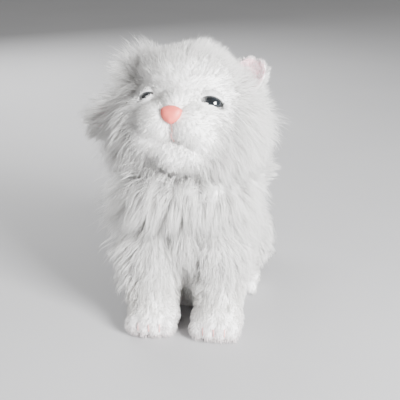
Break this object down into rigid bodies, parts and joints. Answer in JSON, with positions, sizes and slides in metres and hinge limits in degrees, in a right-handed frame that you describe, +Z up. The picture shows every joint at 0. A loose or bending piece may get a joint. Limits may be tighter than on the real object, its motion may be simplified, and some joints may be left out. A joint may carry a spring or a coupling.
{
  "type": "interactive plush kitten",
  "caption": "White long-haired plush kitten with a turning, nodding head, moving eyelids, jaw, forelegs and tail over a moulded casing with a gear drive.",
  "frame": {"origin": "centre of the flat seat under the rump", "axes": "+Z up, the kitten faces -Y, its left side is +X"},
  "size_m": [0.1461, 0.2241, 0.2149],
  "materials": {
    "plush_white": "long white pile plush",
    "wadding": "polyester wadding",
    "casing": "moulded plastic, fine satin",
    "casing_dark": "moulded plastic, satin",
    "steel": "plain steel",
    "cell": "printed sleeve, plain",
    "contact": "plated spring strip",
    "board": "lacquered board",
    "speaker": "paper cone in a frame",
    "gear": "natural nylon",
    "motor": "plated can",
    "eye": "glossy black",
    "eyelid": "short white pile",
    "nose": "smooth matt pink",
    "ear": "pale pink short pile"
  },
  "bodies": {
    "body": {"body_plush": "plush_white", "body_wadding": "wadding", "body_casing_left": "casing", "body_casing_right": "casing", "casing_screws": "steel", "battery_box": "casing_dark", "battery_cells": "cell", "battery_contacts": "contact", "power_switch": "casing_dark", "circuit_board": "board", "board_components": "casing_dark", "loudspeaker": "speaker", "gear_axle": "steel", "gearbox_frame": "casing_dark", "drive_motor": "motor", "back_touch_switch": "casing_dark", "shoulder_axle": "steel", "left_hind_leg_plush": "plush_white", "right_hind_leg_plush": "plush_white", "tail_pin": "steel"},
    "drive_gear": {"drive_gear": "gear"},
    "pinion": {"motor_pinion": "gear", "motor_shaft": "steel"},
    "neck": {"neck_turntable": "casing"},
    "head": {"head_front_shell": "casing", "head_rear_shell": "casing", "nod_pin": "steel", "left_eye": "eye", "right_eye": "eye", "eye_carrier": "casing_dark", "head_plush": "plush_white", "nose": "nose", "left_ear": "ear", "right_ear": "ear", "jaw_pin": "steel", "jaw_bracket": "casing_dark", "head_motor": "motor", "head_touch_switch": "casing_dark"},
    "jaw": {"jaw_frame": "casing", "chin_plush": "plush_white"},
    "eyelids": {"left_eyelid": "eyelid", "right_eyelid": "eyelid", "eyelid_shaft": "steel"},
    "left_leg": {"left_leg_frame": "casing", "left_front_leg_plush": "plush_white"},
    "right_leg": {"right_leg_frame": "casing", "right_front_leg_plush": "plush_white"},
    "tail": {"tail_stem": "casing", "tail_plush": "plush_white"},
    "head_button": {"head_touch_button": "casing"},
    "back_button": {"back_touch_button": "casing"},
    "slider": {"power_slider": "casing_dark"},
    "door": {"battery_door": "casing", "battery_door_screw": "steel"}
  },
  "joints": [
    {"name": "head_turn", "type": "hinge", "parent": "body", "child": "neck", "pos_m": [0, -0.084, 0.105], "axis": [0, 0, 1], "range_deg": [-15, 35]},
    {"name": "head_nod", "type": "hinge", "parent": "neck", "child": "head", "pos_m": [0, -0.084, 0.166], "axis": [-0.9945, 0.1045, 0], "range_deg": [-17, 14]},
    {"name": "jaw_open", "type": "hinge", "parent": "head", "child": "jaw", "pos_m": [-0.00247, -0.1075, 0.15138], "axis": [0.9945, -0.1045, 0], "range_deg": [0, 8]},
    {"name": "eyelids_close", "type": "hinge", "parent": "head", "child": "eyelids", "pos_m": [-0.00281, -0.11076, 0.18144], "axis": [0.9945, -0.1045, 0], "range_deg": [-19, 63]},
    {"name": "left_leg_lift", "type": "hinge", "parent": "body", "child": "left_leg", "pos_m": [0, -0.102, 0.062], "axis": [-1, 0, 0], "range_deg": [0, 25]},
    {"name": "right_leg_lift", "type": "hinge", "parent": "body", "child": "right_leg", "pos_m": [0, -0.102, 0.062], "axis": [-1, 0, 0], "range_deg": [0, 25]},
    {"name": "tail_swing", "type": "hinge", "parent": "body", "child": "tail", "pos_m": [0, 0.022, 0.042], "axis": [0, 0, 1], "range_deg": [-10, 10]},
    {"name": "drive_gear_spin", "type": "hinge", "parent": "body", "child": "drive_gear", "pos_m": [0.0085, -0.03, 0.066], "axis": [1, 0, 0], "continuous": true},
    {"name": "pinion_spin", "type": "hinge", "parent": "body", "child": "pinion", "pos_m": [0.0085, -0.01787, 0.045], "axis": [1, 0, 0], "continuous": true},
    {"name": "head_button_press", "type": "slide", "parent": "head", "child": "head_button", "axis": [-0.0491, -0.4669, -0.8829], "range_m": [0, 0.0014], "stiffness_N_per_m": 300},
    {"name": "back_button_press", "type": "slide", "parent": "body", "child": "back_button", "axis": [0, 0, -1], "range_m": [0, 0.0011], "stiffness_N_per_m": 300},
    {"name": "power_slide", "type": "slide", "parent": "body", "child": "slider", "axis": [1, 0, 0], "range_m": [0, 0.006]},
    {"name": "battery_door_lift", "type": "slide", "parent": "body", "child": "door", "axis": [0, 0, -1], "range_m": [0, 0.012]}
  ],
  "couplings": [
    {"joint": "pinion_spin", "follows": "drive_gear_spin", "ratio": -3}
  ]
}
